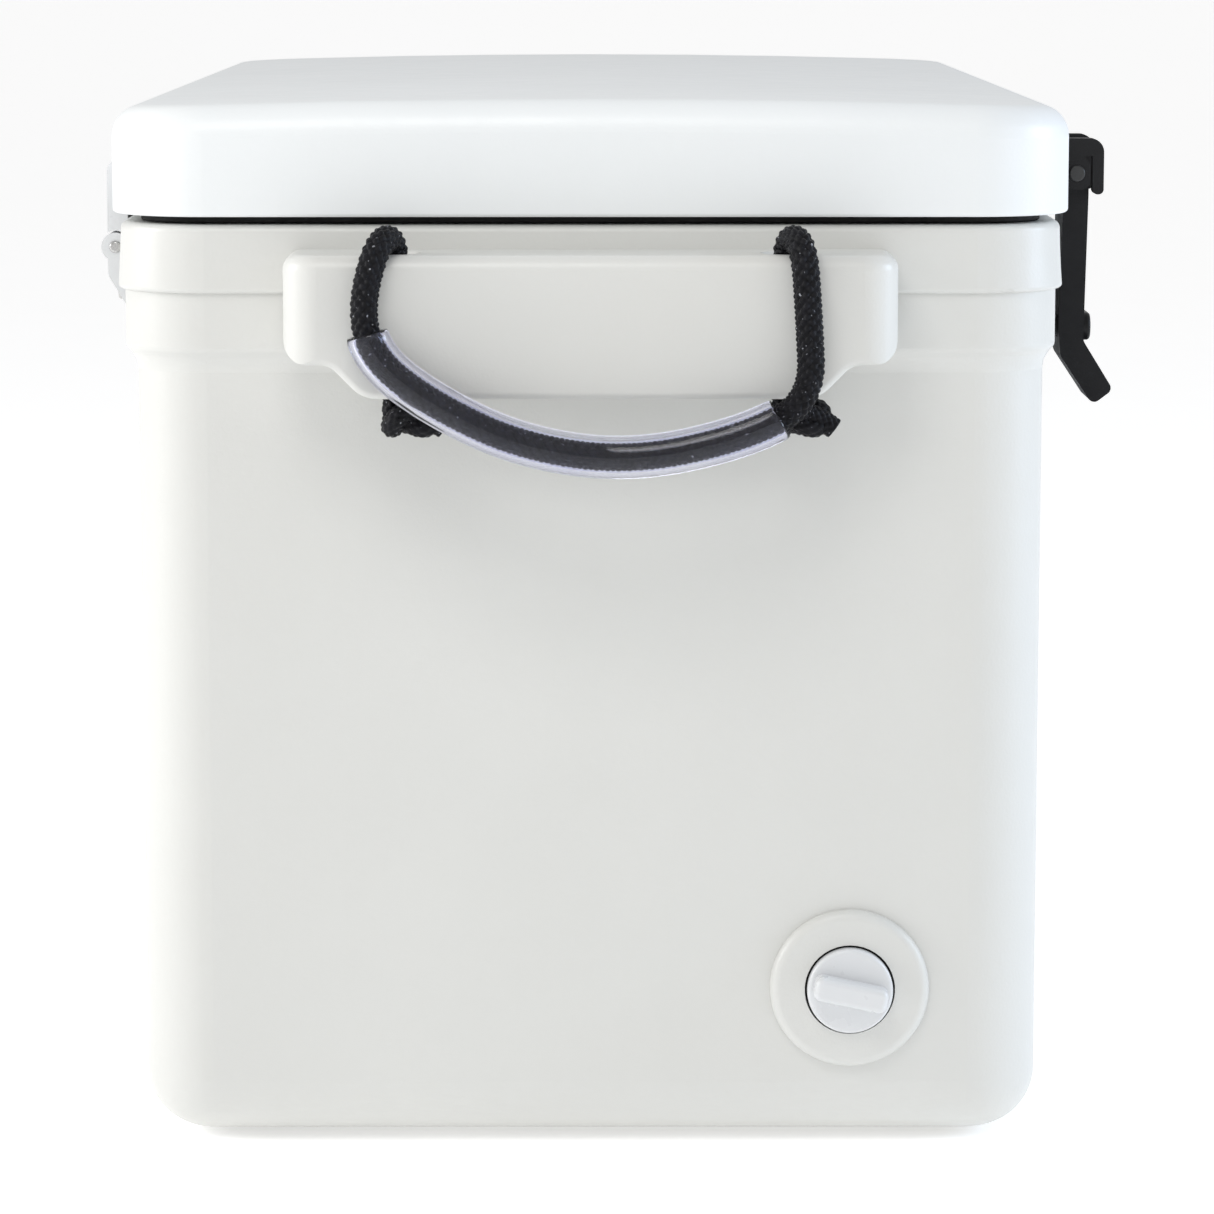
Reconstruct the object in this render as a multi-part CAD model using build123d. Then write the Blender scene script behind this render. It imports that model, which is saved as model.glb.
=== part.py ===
from build123d import *

import math
import os

# A rotomoulded ice chest. X runs along the chest, -Y is the latch side and Z is up.
# The drain is at the -X end.
# Everything is modelled about the tub's own vertical centre line, and moved along Y by
# FRAME_SHIFT when it is written, so that the origin is under the middle of the whole chest,
# latches and hinges included.
# "u" is a distance outwards from the lid's front or back face, and "out" one outwards from
# the lid's end face.

# ---- driving dimensions, in millimetres ----
LID_LENGTH, LID_WIDTH = 680.0, 392.0
LID_CORNER = 40.0  # plan radius of the lid's corners
LID_TOP, LID_BOTTOM = 434.0, 387.0
LID_CROWN = 3.5  # how much higher the lid is along its middle
LID_TOP_ROUND, LID_EDGE_ROUND = 13.0, 1.6
LID_SKIN = 4.5

FOOT_HEIGHT = 3.0  # how far the feet stand out of the tub
TUB_BOTTOM = FOOT_HEIGHT
RIM_TOP = 383.6
STEP_HEIGHT = 356.0  # where the upper band ends and the lower band starts
BAND_BOTTOM, WALL_TOP = 332.6, 327.0
RIM_TOP_INSET, RIM_LOW_INSET = 3.4, 2.0
BAND_INSET, WALL_INSET = 4.7, 9.6
BOTTOM_ROUND = 25.0
SKIN = 4.0
CURE_GAP = 0.2  # the foam shrinks away from the skins by this much

CAVITY_FLOOR = 56.0
CAVITY_LOW_INSET, CAVITY_TOP_INSET = 58.0, 52.0
CAVITY_CORNER, CAVITY_ROUND = 32.0, 18.0
MOUTH_ROUND = 4.0

PLUG_INSET, PLUG_BOTTOM = 57.0, 373.0  # the lid's underside, which drops into the mouth
GASKET_INSET, GASKET_WIDTH = 11.5, 12.0
GROOVE_TOP, GASKET_BOTTOM = 392.0, RIM_TOP + 0.2

BLOCK_OUT = 38.0  # how far a handle block stands out of the lid's end
BLOCK_TOP, BLOCK_SHOULDER, BLOCK_BOTTOM = 374.0, 330.5, 317.0
BLOCK_HALF, BLOCK_FOOT_HALF = 122.5, 90.5
BLOCK_SIDE_ROUND, BLOCK_EDGE_ROUND, BLOCK_LOWER_ROUND = 14.0, 6.0, 3.0
TONGUE_HALF, TONGUE_CLEAR = 56.0, 8.0  # the foam that reaches into a block between its two rope holes

ROPE_RADIUS, ROPE_HOLE_RADIUS, HOLE_MOUTH_ROUND = 5.3, 6.5, 4.0
ROPE_HOLE_OUT, ROPE_HOLE_Y = 19.0, 78.0
KNOT_RADIUS = 10.5
GRIP_OUTER, GRIP_INNER = 8.7, 6.3
# The rope's route from one knot to the other, as (out, y, z).
ROPE_ROUTE = [
    (19.0, 78.0, 305.5),
    (19.5, 78.0, 380.5),
    (43.5, 84.0, 380.0),
    (49.0, 90.5, 354.0),
    (49.5, 85.5, 334.0),
    (49.5, 62.0, 316.0),
    (49.5, 27.0, 299.5),
    (49.5, -16.0, 293.5),
    (49.5, -62.0, 303.5),
    (49.5, -87.5, 318.0),
    (49.0, -86.0, 350.0),
    (43.5, -84.0, 380.0),
    (19.5, -78.0, 380.5),
    (19.0, -78.0, 305.5),
]
GRIP_FIRST_RUN, GRIP_LAST_RUN = 3, 8  # the grip tube's ends are half way along these runs

DRAIN_Y, DRAIN_Z = -107.0, 68.0
BOSS_RADIUS, BOSS_PROUD, BOSS_ROUND = 33.0, 5.0, 4.0
DRAIN_POCKET_RADIUS = 18.7
SEAL_RADIUS, CAP_RADIUS, STEM_RADIUS = 18.4, 17.7, 12.0
THREAD_FIT = 0.05
BUSHING_RADIUS, FLANGE_THICKNESS, SEAL_THICKNESS = 15.0, 2.0, 2.0
TUNNEL_LENGTH = 90.0  # the drain's passage is cut this far in, which is well past the cavity's wall
STEM_LENGTH, STEM_WALL = 26.0, 3.0
CAP_THICKNESS, GRIP_BAR_LENGTH, GRIP_BAR_WIDTH, GRIP_BAR_RISE = 5.0, 30.5, 10.0, 9.0
GRIP_BAR_TURN = 12.0  # degrees off level

FITTING_X = 190.0  # the latches and the hinges are this far each side of the middle
PIN_U, PIN_Z = 12.5, 398.0  # the latch's cross pin
LATCH_PIN_RADIUS = 3.5
STRAP_WIDTH, HANGER_GAP, HANGER_EAR = 34.0, 1.0, 7.0
HANGER_TOP, HANGER_BASE_BOTTOM = 413.0, 390.0
HANGER_LIP_BOTTOM, HANGER_REACH = 389.0, 24.0
HANGER_BASE_WIDTH, HANGER_BASE_THICKNESS = 80.0, 4.0
HANGER_LIP_U, HANGER_LUG_U = 19.2, 18.3
LATCH_REACH = 29.2  # the pull tail's tip
KEEPER_HEIGHT, KEEPER_POST_U, KEEPER_REACH = 331.0, 17.4, 20.7
KEEPER_PLATE_TOP, KEEPER_PLATE_BOTTOM, KEEPER_PLATE_WIDTH = 352.5, 333.5, 58.0
KEEPER_PLATE_U = -0.7

HINGE_U, HINGE_Z = 4.4, 369.0  # the lid's axis
KNUCKLE_RADIUS, HINGE_PIN_RADIUS, HINGE_WIDTH = 6.0, 2.5, 120.0
LEAF_U = 7.6
KNUCKLES = 5
KNUCKLE_GAP = 0.4

FOOT_RADIUS, FOOT_POCKET = 18.0, 5.0
FOOT_X, FOOT_Y = 270.0, 130.0
FOOT_SCREW_SEAT = 3.6
FILL_HOLE_RADIUS = 15.0
SCREW_SHANK, SCREW_HEAD, SCREW_RISE = 2.2, 4.2, 2.2
SCREW_FIT = 0.05
RUNNING_FIT = 0.05

FRONT_REACH = LID_WIDTH / 2 + LATCH_REACH
BACK_REACH = LID_WIDTH / 2 + HINGE_U + KNUCKLE_RADIUS
FRAME_SHIFT = (FRONT_REACH - BACK_REACH) / 2

SIDES = {"left": -1, "right": 1}  # as seen from the latch side


# ---- helpers ----
def at_front(u):
    """The Y of a point u outside the lid's front face."""
    return -(LID_WIDTH / 2 + u)


def at_back(u):
    """The Y of a point u outside the lid's back face."""
    return LID_WIDTH / 2 + u


def plan(inset, height, corner=None):
    """The rounded rectangle that lies inset from the lid's outline, at a height."""
    radius = LID_CORNER - inset if corner is None else corner
    return Pos(0, 0, height) * RectangleRounded(LID_LENGTH - 2 * inset, LID_WIDTH - 2 * inset, radius)


def slab(inset, bottom, top, corner=None):
    """A straight-walled block on such a plan."""
    return extrude(plan(inset, bottom, corner), amount=top - bottom)


def tapered_slab(low_inset, bottom, top_inset, top, corner=None):
    """A block whose plan changes evenly from one inset to another."""
    faces = [plan(low_inset, bottom, corner).face(), plan(top_inset, top, corner).face()]
    return loft(faces, ruled=True)


def loop_edges(shape, height):
    """The edges that lie wholly at a height."""
    return shape.edges().filter_by_position(Axis.Z, height - 0.01, height + 0.01)


def outline(corners):
    """A closed face through corners (a, b) or (a, b, fillet radius)."""
    points = [corner[:2] for corner in corners]
    radii = [corner[2] if len(corner) > 2 else 0 for corner in corners]
    return make_face(FilletPolyline(*points, radius=radii, close=True))


def across(face, width, middle=0.0):
    """Extrude a (Y, Z) face along X, centred on X = middle."""
    return Pos(middle, 0, 0) * extrude(Plane.YZ * face, amount=width / 2, both=True)


def rod(radius, start, end):
    """A round bar between two points."""
    start, end = Vector(*start), Vector(*end)
    length = (end - start).length
    return Plane(origin=start, z_dir=(end - start).normalized()) * Cylinder(
        radius, length, align=(Align.CENTER, Align.CENTER, Align.MIN)
    )


def facing_front(x, u, z):
    """A plane that looks out of the latch side, with its own x along X."""
    return Plane(origin=(x, at_front(u), z), x_dir=(1, 0, 0), z_dir=(0, -1, 0))


def along_x(radius, u_line, z, start, end):
    """A round bar along X, at the Y u_line."""
    return rod(radius, (start, u_line, z), (end, u_line, z))


def pan_screw(seat, direction, length):
    """A cross-recess pan-head screw whose head rests at seat and whose shank runs along direction."""
    bottom = (Align.CENTER, Align.CENTER, Align.MIN)
    cap = Pos(0, 0, -SCREW_RISE) * Cylinder(SCREW_HEAD, SCREW_RISE, align=bottom)
    cap = fillet(cap.edges().group_by(Axis.Z)[0], SCREW_RISE * 0.55)
    for turn in (0, 90):
        cap -= Pos(0, 0, -SCREW_RISE) * Rot(0, 0, turn) * Box(SCREW_HEAD * 1.1, 0.9, 2.4)
    body = cap + Cylinder(SCREW_SHANK, length, align=bottom)
    return Plane(origin=seat, z_dir=direction) * body


def screw_hole(seat, direction, length):
    """The hole that such a screw runs in."""
    start = Vector(*seat)
    end = start + Vector(*direction) * (length + 0.5)
    return rod(SCREW_SHANK + SCREW_FIT, start - Vector(*direction), end)


def both_ends(piece):
    """A piece of the -X end, and the same piece turned round to the +X end."""
    return [piece, Rot(0, 0, 180) * piece]


# ---- where the screws go: (seat, direction, length) ----
def hanger_screws(x):
    seats = [(x + offset, at_front(HANGER_BASE_THICKNESS), 401.0) for offset in (-33.5, 33.5)]
    return [(seat, (0, 1, 0), 16.0) for seat in seats]


def keeper_screws(x):
    seats = [(x + offset, at_front(KEEPER_PLATE_U), 344.5) for offset in (-22.5, 22.5)]
    return [(seat, (0, 1, 0), 16.0) for seat in seats]


def lid_leaf_screws(x):
    seats = [(x + offset, at_back(LEAF_U - 2.4), 396.0) for offset in (-38.0, 0.0, 38.0)]
    return [(seat, (0, -1, 0), 20.0) for seat in seats]


def tub_leaf_screws(x):
    seats = [(x + offset, at_back(3.2), 349.5) for offset in (-38.0, 38.0)]
    return [(seat, (0, -1, 0), 20.0) for seat in seats]


def foot_screw(x, y):
    return (x, y, FOOT_SCREW_SEAT), (0, 0, 1), 12.0


def foot_places():
    return [(x, y) for x in (-FOOT_X, FOOT_X) for y in (-FOOT_Y, FOOT_Y)]


def fitting_places():
    return [side * FITTING_X for side in SIDES.values()]


LID_SCREWS = [s for x in fitting_places() for s in hanger_screws(x) + lid_leaf_screws(x)]
TUB_SCREWS = [s for x in fitting_places() for s in keeper_screws(x) + tub_leaf_screws(x)]


# ---- tub ----
def cavity(grow=0.0):
    """The space for the ice, or that space grown by a skin."""
    low, top = CAVITY_LOW_INSET - grow, CAVITY_TOP_INSET - grow
    space = tapered_slab(low, CAVITY_FLOOR - grow, top, RIM_TOP + 6, CAVITY_CORNER + grow)
    return fillet(loop_edges(space, CAVITY_FLOOR - grow), CAVITY_ROUND + grow)


def tub_foam_space(gap=0.0):
    """What the tub's skins enclose, or that less a gap all round."""
    inset = WALL_INSET + SKIN + gap
    bottom, top = TUB_BOTTOM + SKIN + gap, RIM_TOP - SKIN - gap
    space = slab(inset, bottom, top)
    space = fillet(loop_edges(space, bottom), BOTTOM_ROUND - SKIN - gap)
    tongue_height = BLOCK_TOP - BLOCK_SHOULDER - 1.5 * TONGUE_CLEAR - 2 * gap
    tongue = Pos(0, 0, (BLOCK_TOP + BLOCK_SHOULDER) / 2) * Box(
        LID_LENGTH + 2 * (BLOCK_OUT - TONGUE_CLEAR - gap), 2 * (TONGUE_HALF - gap), tongue_height
    )
    space = space + tongue - cavity(SKIN + gap)
    for x, y in foot_places():
        space -= rod(FOOT_RADIUS + 6 + gap, (x, y, 0), (x, y, 21 + gap))
    return space


def handle_block():
    """The moulded block at the -X end that carries the rope."""
    half = [
        (BLOCK_HALF, BLOCK_TOP, 0.0),
        (BLOCK_HALF, BLOCK_SHOULDER, 10.0),
        (BLOCK_FOOT_HALF + 13.5, BLOCK_SHOULDER, 9.0),
        (BLOCK_FOOT_HALF, BLOCK_BOTTOM, 14.0),
    ]
    other_half = [(-y, z, r) for y, z, r in reversed(half)]
    face = Plane.YZ * outline(half + other_half)
    root = -LID_LENGTH / 2 + WALL_INSET + 2
    front = -LID_LENGTH / 2 - BLOCK_OUT
    block = Pos(root, 0, 0) * extrude(face, amount=-(root - front))
    lower = [edge for edge in block.edges().group_by(Axis.X)[0] if edge.center().Z < BLOCK_TOP - 1]
    block = fillet(lower, BLOCK_LOWER_ROUND)
    footprint = outline([
        (front, -BLOCK_HALF, BLOCK_SIDE_ROUND),
        (front, BLOCK_HALF, BLOCK_SIDE_ROUND),
        (root, BLOCK_HALF, 0.0),
        (root, -BLOCK_HALF, 0.0),
    ])
    block &= extrude(Pos(0, 0, BLOCK_BOTTOM - 1) * footprint, amount=BLOCK_TOP - BLOCK_BOTTOM + 2)
    upper = [edge for edge in loop_edges(block, BLOCK_TOP) if edge.center().X < root - 1]
    return fillet(upper, BLOCK_EDGE_ROUND)


def rope_hole(y):
    """A rope's hole through the block, with rounded mouths."""
    x = -LID_LENGTH / 2 - ROPE_HOLE_OUT
    radius, mouth = ROPE_HOLE_RADIUS, HOLE_MOUTH_ROUND
    wide = radius + mouth
    profile = outline([
        (0, BLOCK_BOTTOM - 1),
        (wide, BLOCK_BOTTOM - 1),
        (wide, BLOCK_BOTTOM),
        (radius, BLOCK_BOTTOM + mouth),
        (radius, BLOCK_TOP - mouth),
        (wide, BLOCK_TOP),
        (wide, BLOCK_TOP + 1),
        (0, BLOCK_TOP + 1),
    ])
    return Pos(x, y, 0) * revolve(Plane.XZ * profile, Axis.Z)


def drain_tunnel(radius, inner_x):
    """A round passage from outside the drain boss to inner_x."""
    return rod(radius, (-LID_LENGTH / 2, DRAIN_Y, DRAIN_Z), (inner_x, DRAIN_Y, DRAIN_Z))


def drain_disc(radius, x, thickness):
    """A disc on the drain's axis, from x outwards."""
    return rod(radius, (x, DRAIN_Y, DRAIN_Z), (x - thickness, DRAIN_Y, DRAIN_Z))


def wall_x():
    """The X of the tub's lower end wall."""
    return -LID_LENGTH / 2 + WALL_INSET


def flange_x():
    """The outer face of the drain bushing's flange, on which the seal lies."""
    return wall_x() - FLANGE_THICKNESS


def tub_outside():
    """The tub before it is hollowed: a wall, two bands, the drain's boss and the two handle blocks."""
    wall = slab(WALL_INSET, TUB_BOTTOM, WALL_TOP)
    wall = fillet(loop_edges(wall, TUB_BOTTOM), BOTTOM_ROUND)
    body = wall + tapered_slab(WALL_INSET, WALL_TOP, BAND_INSET, BAND_BOTTOM)
    body += slab(BAND_INSET, BAND_BOTTOM, STEP_HEIGHT)
    rim = tapered_slab(RIM_LOW_INSET, STEP_HEIGHT, RIM_TOP_INSET, RIM_TOP)
    rim = fillet(loop_edges(rim, RIM_TOP), 3.0)
    rim = fillet(loop_edges(rim, STEP_HEIGHT), 1.8)
    body += rim
    body = fillet(loop_edges(body, WALL_TOP), 10.0)
    body = fillet(loop_edges(body, BAND_BOTTOM), 3.0)
    boss = drain_disc(BOSS_RADIUS, wall_x() + 2, BOSS_PROUD + 2)
    body += fillet(boss.edges().group_by(Axis.X)[0], BOSS_ROUND)
    for block in both_ends(handle_block()):
        body += block
    return body


def make_tub_shell():
    shell = tub_outside() - cavity()
    shell = fillet(mouth_edges(shell), MOUTH_ROUND)
    shell -= tub_foam_space()
    for y in (-ROPE_HOLE_Y, ROPE_HOLE_Y):
        for hole in both_ends(rope_hole(y)):
            shell -= hole
    shell -= drain_disc(DRAIN_POCKET_RADIUS, wall_x(), WALL_INSET)
    shell -= drain_tunnel(BUSHING_RADIUS, -LID_LENGTH / 2 + TUNNEL_LENGTH)
    shell -= rod(FILL_HOLE_RADIUS, (0, 0, 0), (0, 0, TUB_BOTTOM + SKIN + 1))
    for x, y in foot_places():
        shell -= rod(FOOT_RADIUS + 0.2, (x, y, 0), (x, y, TUB_BOTTOM + FOOT_POCKET))
        shell -= screw_hole(*foot_screw(x, y))
    for screw in TUB_SCREWS:
        shell -= screw_hole(*screw)
    return shell


def mouth_edges(shell):
    """The cavity's upper edge, where it meets the rim's flat top."""
    reach_x = LID_LENGTH / 2 - CAVITY_TOP_INSET + 2
    reach_y = LID_WIDTH / 2 - CAVITY_TOP_INSET + 2
    found = []
    for edge in loop_edges(shell, RIM_TOP):
        box = edge.bounding_box()
        if max(box.max.X, -box.min.X) < reach_x and max(box.max.Y, -box.min.Y) < reach_y:
            found.append(edge)
    return found


def make_tub_foam():
    foam = tub_foam_space(CURE_GAP)
    foam -= drain_tunnel(BUSHING_RADIUS + CURE_GAP, -LID_LENGTH / 2 + TUNNEL_LENGTH)
    for screw in TUB_SCREWS:
        foam -= screw_hole(*screw)
    return foam


def fill_plug(height):
    """The mushroom plug that closes a foam fill hole in an underside at a height."""
    stem = rod(FILL_HOLE_RADIUS - 0.1, (0, 0, height), (0, 0, height + SKIN))
    cap = rod(FILL_HOLE_RADIUS + 3, (0, 0, height - 1.6), (0, 0, height))
    return stem + fillet(cap.edges().group_by(Axis.Z)[0], 1.2)


def make_foot(x, y):
    """A rubber foot, with a pocket below for its screw's head."""
    foot = rod(FOOT_RADIUS, (x, y, 0), (x, y, TUB_BOTTOM + FOOT_POCKET))
    foot = fillet(foot.edges().group_by(Axis.Z)[0], 1.4)
    foot -= rod(SCREW_HEAD + 1, (x, y, -1), (x, y, FOOT_SCREW_SEAT))
    return foot - screw_hole(*foot_screw(x, y))


# ---- drain ----
def make_drain_bushing():
    flange = drain_disc(DRAIN_POCKET_RADIUS - 0.1, wall_x(), FLANGE_THICKNESS)
    inner_end = -LID_LENGTH / 2 + TUNNEL_LENGTH
    sleeve = drain_disc(BUSHING_RADIUS, inner_end, inner_end - flange_x())
    bushing = flange + sleeve - drain_tunnel(STEM_RADIUS + THREAD_FIT, inner_end + 1)
    return bushing - cavity()


def make_drain_seal():
    ring = drain_disc(SEAL_RADIUS, flange_x() - 0.02, SEAL_THICKNESS)
    ring = fillet(ring.edges().group_by(Axis.X)[0], 0.8)
    return ring - drain_tunnel(STEM_RADIUS + 0.6, -LID_LENGTH / 2 + TUNNEL_LENGTH)


def make_drain_plug():
    """The screw-in cap: a disc with a grip bar outside and a hollow stem inside."""
    seat = flange_x() - SEAL_THICKNESS - 0.04
    cap = drain_disc(CAP_RADIUS, seat, CAP_THICKNESS)
    cap = fillet(cap.edges().group_by(Axis.X)[0], 1.6)
    bar_face = Rot(0, 0, -GRIP_BAR_TURN) * RectangleRounded(GRIP_BAR_LENGTH, GRIP_BAR_WIDTH, 3.2)
    foot_of_bar = (seat - CAP_THICKNESS + 0.5, DRAIN_Y, DRAIN_Z)
    outwards = Plane(origin=foot_of_bar, x_dir=(0, -1, 0), z_dir=(-1, 0, 0))
    bar = extrude(outwards * bar_face, amount=GRIP_BAR_RISE + 0.5)
    bar = fillet(bar.edges().group_by(Axis.X)[0], 2.4)
    stem = drain_disc(STEM_RADIUS, seat + STEM_LENGTH, STEM_LENGTH)
    stem -= drain_disc(STEM_RADIUS - STEM_WALL, seat + STEM_LENGTH + 1, STEM_LENGTH + 1 - STEM_WALL)
    return cap + bar + stem


# ---- lid ----
def lid_foam_space(gap=0.0):
    upper = slab(LID_SKIN + gap, GROOVE_TOP + SKIN + gap, LID_TOP - LID_CROWN - LID_SKIN - gap)
    upper = fillet(upper.edges().group_by(Axis.Z)[-1], LID_TOP_ROUND - LID_SKIN)
    inset = PLUG_INSET + SKIN + gap
    lower = slab(inset, PLUG_BOTTOM + SKIN + gap, GROOVE_TOP + SKIN + 1, CAVITY_CORNER - 8)
    return upper + lower


def make_lid_shell():
    lid = slab(0, LID_BOTTOM, LID_TOP + 1)
    crown_radius = ((LID_WIDTH / 2) ** 2 + LID_CROWN**2) / (2 * LID_CROWN)
    lid &= along_x(crown_radius, 0, LID_TOP - crown_radius, -LID_LENGTH, LID_LENGTH)
    top = [edge for edge in lid.edges() if edge.center().Z > LID_TOP - LID_CROWN - 0.6]
    lid = fillet(top, LID_TOP_ROUND)
    lid = fillet(loop_edges(lid, LID_BOTTOM), LID_EDGE_ROUND)
    plug = slab(PLUG_INSET, PLUG_BOTTOM, LID_BOTTOM + 1, CAVITY_CORNER - 4)
    lid += fillet(loop_edges(plug, PLUG_BOTTOM), 6.0)
    lid -= gasket_ring(0.0, LID_BOTTOM - 1, GROOVE_TOP)
    lid -= lid_foam_space()
    lid -= rod(FILL_HOLE_RADIUS, (0, 0, PLUG_BOTTOM - 1), (0, 0, PLUG_BOTTOM + SKIN + 1))
    for screw in LID_SCREWS:
        lid -= screw_hole(*screw)
    return lid


def gasket_ring(gap, bottom, top):
    """The loop that the gasket's groove follows, made smaller all round by a gap."""
    outer = slab(GASKET_INSET + gap, bottom, top)
    return outer - slab(GASKET_INSET + GASKET_WIDTH - gap, bottom - 1, top + 1, 16.5)


def make_lid_gasket():
    gasket = gasket_ring(0.05, GASKET_BOTTOM, GROOVE_TOP - 0.05)
    return fillet(loop_edges(gasket, GASKET_BOTTOM), 1.0)


def make_lid_foam():
    foam = lid_foam_space(CURE_GAP)
    for screw in LID_SCREWS:
        foam -= screw_hole(*screw)
    return foam


# ---- hinges ----
def knuckle_spans(which):
    """The X spans, about the hinge's middle, of the tub's knuckles (0) or the lid's (1)."""
    pitch = HINGE_WIDTH / KNUCKLES
    starts = [-HINGE_WIDTH / 2 + pitch * n for n in range(KNUCKLES) if n % 2 == which]
    return [(start + KNUCKLE_GAP / 2, start + pitch - KNUCKLE_GAP / 2) for start in starts]


def knuckled(plate, x, which):
    """A leaf's plate with its own knuckles on, and cleared for the other leaf's."""
    centre = at_back(HINGE_U)
    for low, high in knuckle_spans(1 - which):
        start, end = x + low - KNUCKLE_GAP, x + high + KNUCKLE_GAP
        plate -= along_x(KNUCKLE_RADIUS + 0.8, centre, HINGE_Z, start, end)
    for low, high in knuckle_spans(which):
        plate += along_x(KNUCKLE_RADIUS, centre, HINGE_Z, x + low, x + high)
    bore_radius = HINGE_PIN_RADIUS + RUNNING_FIT
    return plate - along_x(bore_radius, centre, HINGE_Z, x - HINGE_WIDTH, x + HINGE_WIDTH)


def make_lid_leaf(x):
    """The upper leaf, on the lid's back face."""
    profile = outline([
        (at_back(0.0), 408.0),
        (at_back(0.0), 388.0),
        (at_back(-1.0), 384.8),
        (at_back(-1.0), HINGE_Z + 1),
        (at_back(LEAF_U), HINGE_Z + 1),
        (at_back(LEAF_U), 403.0, 5.0),
        (at_back(1.5), 408.0, 2.0),
    ])
    plate = across(profile, HINGE_WIDTH - KNUCKLE_GAP, x)
    plate = knuckled(plate, x, 1)
    for screw in lid_leaf_screws(x):
        plate -= sunk_screw_hole(*screw)
    return plate


def make_tub_leaf(x):
    """The lower leaf, on the tub's two bands."""
    profile = outline([
        (at_back(-4.6), 341.0),
        (at_back(-4.6), 355.9),
        (at_back(-1.3), 355.9),
        (at_back(-1.3), HINGE_Z - 1),
        (at_back(LEAF_U), HINGE_Z - 1),
        (at_back(LEAF_U), 357.0, 5.0),
        (at_back(-2.0), 341.0, 2.0),
    ])
    plate = across(profile, HINGE_WIDTH - KNUCKLE_GAP, x)
    plate = knuckled(plate, x, 0)
    for screw in tub_leaf_screws(x):
        plate -= sunk_screw_hole(*screw)
    return plate


def sunk_screw_hole(seat, direction, length):
    """A screw's hole with the round pocket that its head lies in."""
    start = Vector(*seat)
    return screw_hole(seat, direction, length) + rod(4.5, start - Vector(*direction) * 12, start)


def make_hinge_pin(x):
    half = HINGE_WIDTH / 2 + 1.2
    pin = along_x(HINGE_PIN_RADIUS, at_back(HINGE_U), HINGE_Z, x - half, x + half)
    return fillet(pin.edges().filter_by(GeomType.CIRCLE), 1.0)


# ---- latches ----
def make_hanger(x):
    """The lid's bracket: a base plate with two hooded cheeks that the strap's pin runs through."""
    flat = facing_front(x, 0.0, (HANGER_TOP + HANGER_BASE_BOTTOM) / 2)
    outline_face = RectangleRounded(HANGER_BASE_WIDTH, HANGER_TOP - HANGER_BASE_BOTTOM, 4.0)
    base = extrude(flat * outline_face, amount=HANGER_BASE_THICKNESS)
    base = fillet(base.edges().group_by(Axis.Y)[0], 1.2)
    hook = outline([
        (at_front(3.0), HANGER_TOP, 0.0),
        (at_front(HANGER_REACH), HANGER_TOP, 6.0),
        (at_front(HANGER_REACH), HANGER_LIP_BOTTOM, 2.2),
        (at_front(HANGER_LIP_U), HANGER_LIP_BOTTOM, 2.2),
        (at_front(HANGER_LIP_U), 405.5, 0.5),
        (at_front(HANGER_LUG_U - 3.0), 405.5, 0.0),
        (at_front(HANGER_LUG_U), 402.0, 1.5),
        (at_front(HANGER_LUG_U), 391.0, 4.0),
        (at_front(3.0), 391.0, 0.0),
    ])
    offset = STRAP_WIDTH / 2 + HANGER_GAP + HANGER_EAR / 2
    bracket = base
    for side in (-1, 1):
        bracket += across(hook, HANGER_EAR, x + side * offset)
    bracket -= pin_bore(x)
    for screw in hanger_screws(x):
        bracket -= screw_hole(*screw)
    return bracket


def pin_bore(x):
    """The passage that the cross pin turns in."""
    radius = LATCH_PIN_RADIUS + RUNNING_FIT
    return along_x(radius, at_front(PIN_U), PIN_Z, x - HANGER_BASE_WIDTH, x + HANGER_BASE_WIDTH)


def make_latch_pin(x):
    half = STRAP_WIDTH / 2 + HANGER_GAP + HANGER_EAR + 0.8
    pin = along_x(LATCH_PIN_RADIUS, at_front(PIN_U), PIN_Z, x - half, x + half)
    return fillet(pin.edges().filter_by(GeomType.CIRCLE), 0.8)


def make_strap(x):
    """The rubber strap: an eye for the pin, a buttonhole for the keeper and a flared tail to pull."""
    profile = outline([
        (at_front(7.6), 404.0, 4.5),
        (at_front(18.4), 404.0, 4.5),
        (at_front(18.4), 388.0, 30.0),
        (at_front(17.0), 325.5, 5.0),
        (at_front(30.2), 304.2, 3.0),
        (at_front(21.4), 297.6, 3.0),
        (at_front(7.2), 319.0, 6.0),
        (at_front(6.2), 332.0, 12.0),
        (at_front(7.6), 386.0, 30.0),
    ])
    strap = across(profile, STRAP_WIDTH, x)
    slot = facing_front(x, PIN_U, KEEPER_HEIGHT) * SlotOverall(21.0, 9.4)
    return strap - pin_bore(x) - extrude(slot, amount=20, both=True)


def make_keeper(x):
    """The tub's button: a plate, a post through the strap and a wider head."""
    section = outline([
        (at_front(-BAND_INSET), KEEPER_PLATE_TOP),
        (at_front(KEEPER_PLATE_U), KEEPER_PLATE_TOP, 1.2),
        (at_front(KEEPER_PLATE_U), KEEPER_PLATE_BOTTOM, 1.2),
        (at_front(-BAND_INSET), KEEPER_PLATE_BOTTOM),
    ])
    plate = across(section, KEEPER_PLATE_WIDTH, x)
    post_foot = facing_front(x, -3.0, KEEPER_HEIGHT)
    post = extrude(post_foot * SlotOverall(19.6, 8.0), amount=KEEPER_POST_U + 4.0)
    head_foot = facing_front(x, KEEPER_POST_U, KEEPER_HEIGHT)
    head = extrude(head_foot * SlotOverall(25.0, 12.0), amount=KEEPER_REACH - KEEPER_POST_U)
    head = fillet(head.edges().group_by(Axis.Y)[0], 1.4)
    keeper = plate + post + head
    for screw in keeper_screws(x):
        keeper -= screw_hole(*screw)
    return keeper


# ---- rope handles ----
def route_point(out, y, z):
    return Vector(-LID_LENGTH / 2 - out, y, z)


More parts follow.
